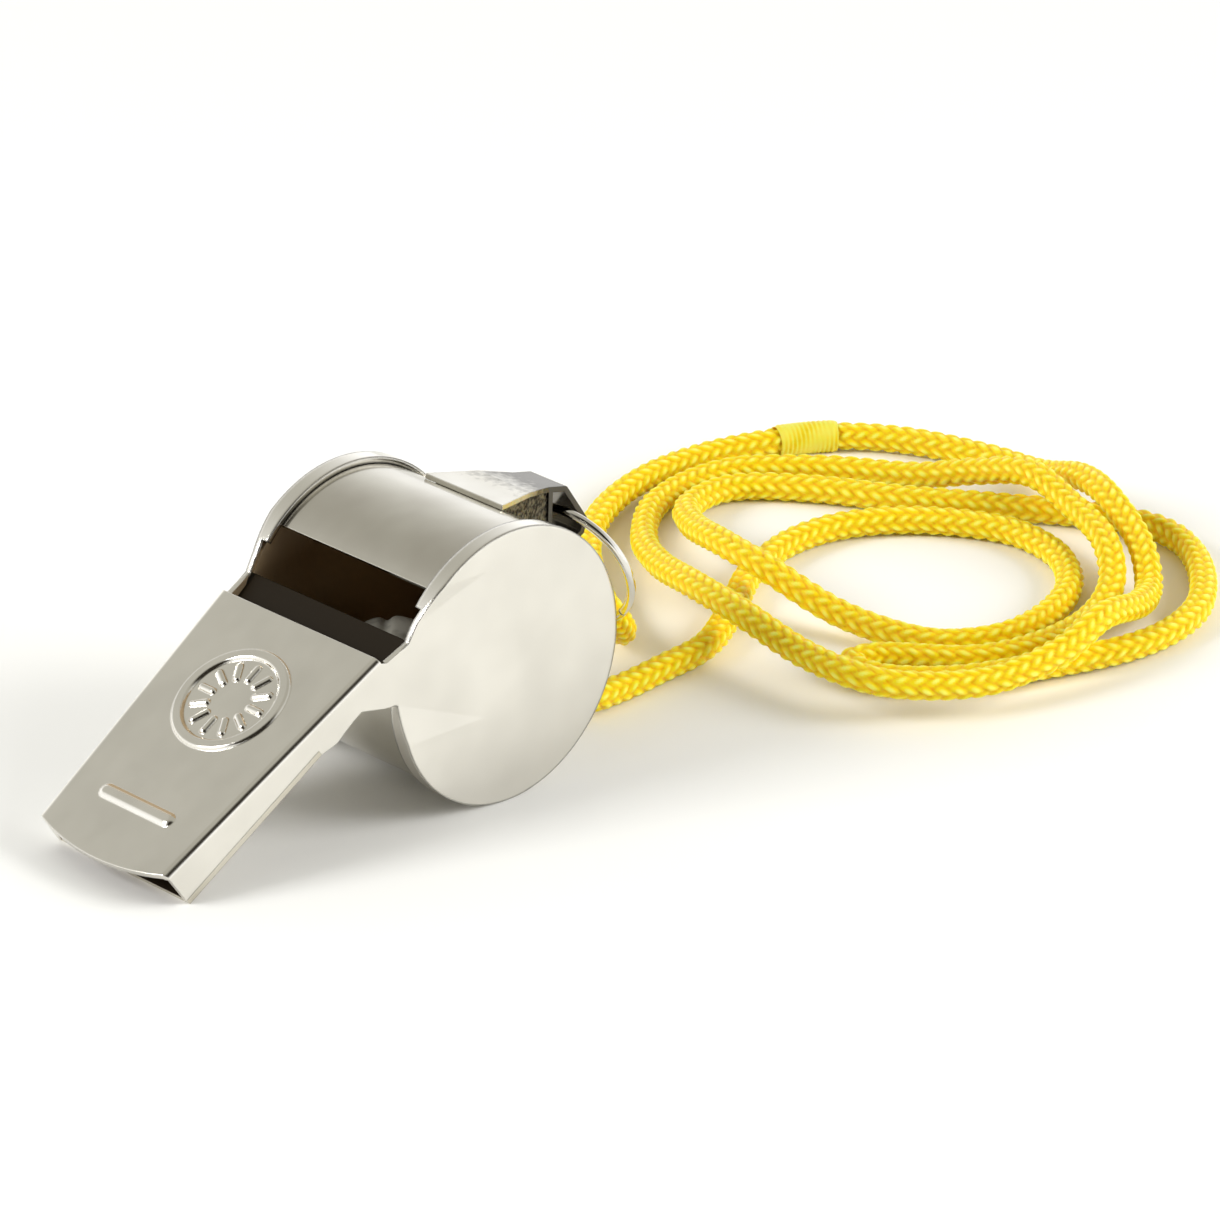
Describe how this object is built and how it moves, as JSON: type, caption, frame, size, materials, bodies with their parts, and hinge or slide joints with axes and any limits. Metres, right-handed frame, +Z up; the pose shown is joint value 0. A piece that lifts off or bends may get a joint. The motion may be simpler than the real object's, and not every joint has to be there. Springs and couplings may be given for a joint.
{
  "type": "pea whistle",
  "caption": "Bent sheet-metal referee's whistle with a round barrel, a loose pea, a swinging wire ring and a coiled loop of yellow braided cord.",
  "frame": {"origin": "middle of the bounding box of the whistle and its ring, on the surface it stands on", "axes": "+X from the mouthpiece towards the ring, +Y across the whistle along the barrel's axis, +Z up"},
  "size_m": [0.1149, 0.055, 0.023],
  "materials": {
    "plated_sheet": "polished plating",
    "plated_band": "polished plating",
    "solder": "rough, plated over",
    "ring_wire": "polished plating",
    "pea": "matt",
    "cord": "braided",
    "cord_join": "braided, sewn"
  },
  "bodies": {
    "whistle": {"body_stamping": "plated_sheet", "barrel_band": "plated_band", "mouthpiece_floor": "plated_band", "windway_solder": "solder", "lanyard_lug": "plated_band", "lug_solder": "solder", "cord_coil": "cord", "cord_join": "cord_join", "cord_return": "cord"},
    "pea": {"pea": "pea"},
    "ring": {"split_ring": "ring_wire", "cord_bight": "cord"}
  },
  "joints": [
    {"name": "pea_orbit", "type": "hinge", "parent": "whistle", "child": "pea", "pos_m": [0.00801, 0, 0.0115], "axis": [0, 1, 0], "continuous": true},
    {"name": "ring_swing", "type": "hinge", "parent": "whistle", "child": "ring", "pos_m": [0.02131, -0.0007, 0.0183], "axis": [0.2419, -0.9703, 0], "range_deg": [-24, 178], "deforming": ["cord_bight"]}
  ]
}
